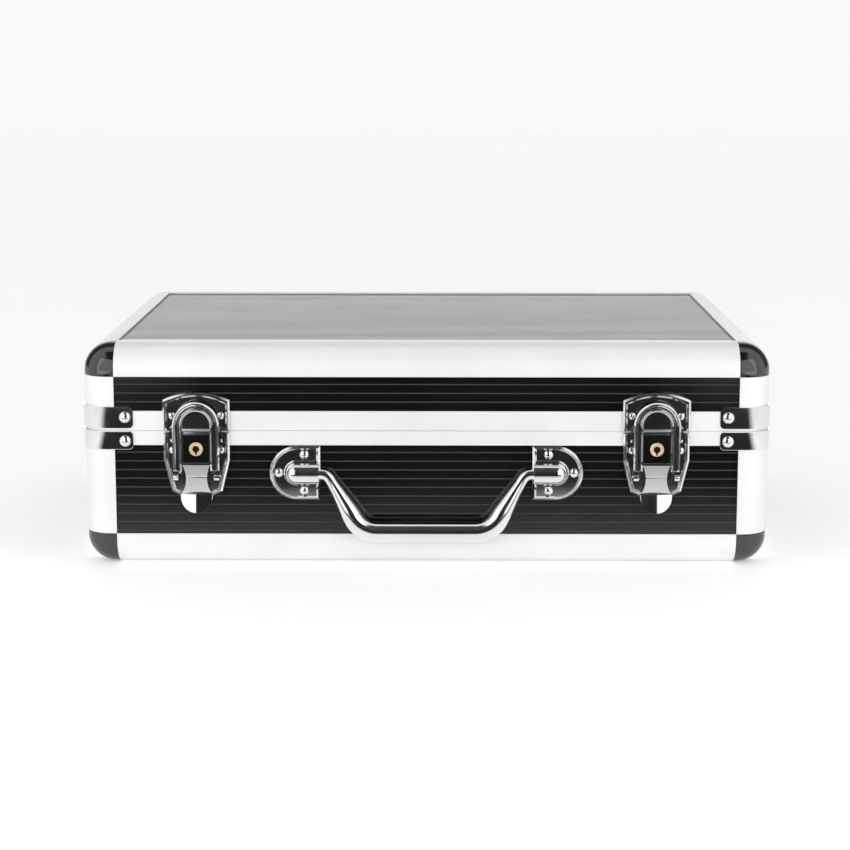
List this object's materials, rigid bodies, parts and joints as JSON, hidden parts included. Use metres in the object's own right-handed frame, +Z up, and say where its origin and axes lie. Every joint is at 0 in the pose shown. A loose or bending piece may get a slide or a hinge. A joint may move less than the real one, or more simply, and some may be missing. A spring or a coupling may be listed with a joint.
{
  "type": "poker chip case",
  "caption": "Aluminium-framed hard case for poker chips with ribbed black panels, a hinged lid, key-locked toggle latches, a swinging carry handle and a moulded chip tray.",
  "frame": {"origin": "on the resting plane, under the centre of the outline that includes the fittings", "axes": "+X along the case's long side, to the right seen from the front; -Y is the front with the handle; +Z up"},
  "size_m": [0.3852, 0.2906, 0.124],
  "materials": {
    "extrusion": "satin anodised",
    "panel": "satin black, ribbed",
    "corner": "gloss black",
    "bright": "polished plate",
    "lock_brass": "polished",
    "lock_black": "gloss black",
    "lining": "short black felt",
    "tray": "flocked black"
  },
  "bodies": {
    "base": {"base_back_panel": "panel", "base_ball_corners": "corner", "base_bottom_panel": "panel", "base_corner_brackets": "bright", "base_corner_posts": "extrusion", "base_corner_rivets": "bright", "base_edge_back": "extrusion", "base_edge_front": "extrusion", "base_edge_left": "extrusion", "base_edge_right": "extrusion", "base_frame": "extrusion", "base_front_panel": "panel", "base_left_panel": "panel", "base_lining": "lining", "base_right_panel": "panel", "chip_tray": "tray", "handle_bracket_left": "bright", "handle_bracket_right": "bright", "handle_rivets": "bright", "hinge_base_leaves": "bright", "hinge_base_rivets": "bright", "hinge_pins": "bright", "latch_plate_left": "bright", "latch_plate_right": "bright", "latch_rivets": "bright", "lever_pins": "bright", "lock_box_left": "lock_black", "lock_box_right": "lock_black"},
    "lid": {"hinge_lid_leaves": "bright", "hinge_lid_rivets": "bright", "keeper_left": "bright", "keeper_right": "bright", "keeper_rivets": "bright", "lid_back_panel": "panel", "lid_ball_corners": "corner", "lid_corner_brackets": "bright", "lid_corner_posts": "extrusion", "lid_corner_rivets": "bright", "lid_edge_back": "extrusion", "lid_edge_front": "extrusion", "lid_edge_left": "extrusion", "lid_edge_right": "extrusion", "lid_frame": "extrusion", "lid_front_panel": "panel", "lid_left_panel": "panel", "lid_lining": "lining", "lid_pad": "lining", "lid_right_panel": "panel", "lid_top_panel": "panel"},
    "handle": {"handle": "bright"},
    "lever_left": {"latch_lever_left": "bright", "loop_pins_left": "bright"},
    "loop_left": {"latch_loop_left": "bright"},
    "key_left": {"key_plug_left": "lock_brass"},
    "lever_right": {"latch_lever_right": "bright", "loop_pins_right": "bright"},
    "loop_right": {"latch_loop_right": "bright"},
    "key_right": {"key_plug_right": "lock_brass"}
  },
  "joints": [
    {"name": "lid_hinge", "type": "hinge", "parent": "base", "child": "lid", "pos_m": [0, 0.143, 0.076], "axis": [-1, 0, 0], "range_deg": [0, 100]},
    {"name": "handle_swing", "type": "hinge", "parent": "base", "child": "handle", "pos_m": [0, -0.1349, 0.0526], "axis": [-1, 0, 0], "range_deg": [0, 95]},
    {"name": "lever_left_lift", "type": "hinge", "parent": "base", "child": "lever_left", "pos_m": [-0.1266, -0.1342, 0.077], "axis": [-1, 0, 0], "range_deg": [0, 120]},
    {"name": "loop_left_swing", "type": "hinge", "parent": "lever_left", "child": "loop_left", "pos_m": [-0.1266, -0.1366, 0.051], "axis": [-1, 0, 0], "range_deg": [-120, 0]},
    {"name": "key_left_turn", "type": "hinge", "parent": "base", "child": "key_left", "pos_m": [-0.1266, -0.1365, 0.0667], "axis": [0, 1, 0], "range_deg": [0, 90]},
    {"name": "lever_right_lift", "type": "hinge", "parent": "base", "child": "lever_right", "pos_m": [0.1266, -0.1342, 0.077], "axis": [-1, 0, 0], "range_deg": [0, 120]},
    {"name": "loop_right_swing", "type": "hinge", "parent": "lever_right", "child": "loop_right", "pos_m": [0.1266, -0.1366, 0.051], "axis": [-1, 0, 0], "range_deg": [-120, 0]},
    {"name": "key_right_turn", "type": "hinge", "parent": "base", "child": "key_right", "pos_m": [0.1266, -0.1365, 0.0667], "axis": [0, 1, 0], "range_deg": [0, 90]}
  ],
  "couplings": [
    {"joint": "loop_left_swing", "follows": "lever_left_lift", "ratio": -1},
    {"joint": "loop_right_swing", "follows": "lever_right_lift", "ratio": -1}
  ]
}
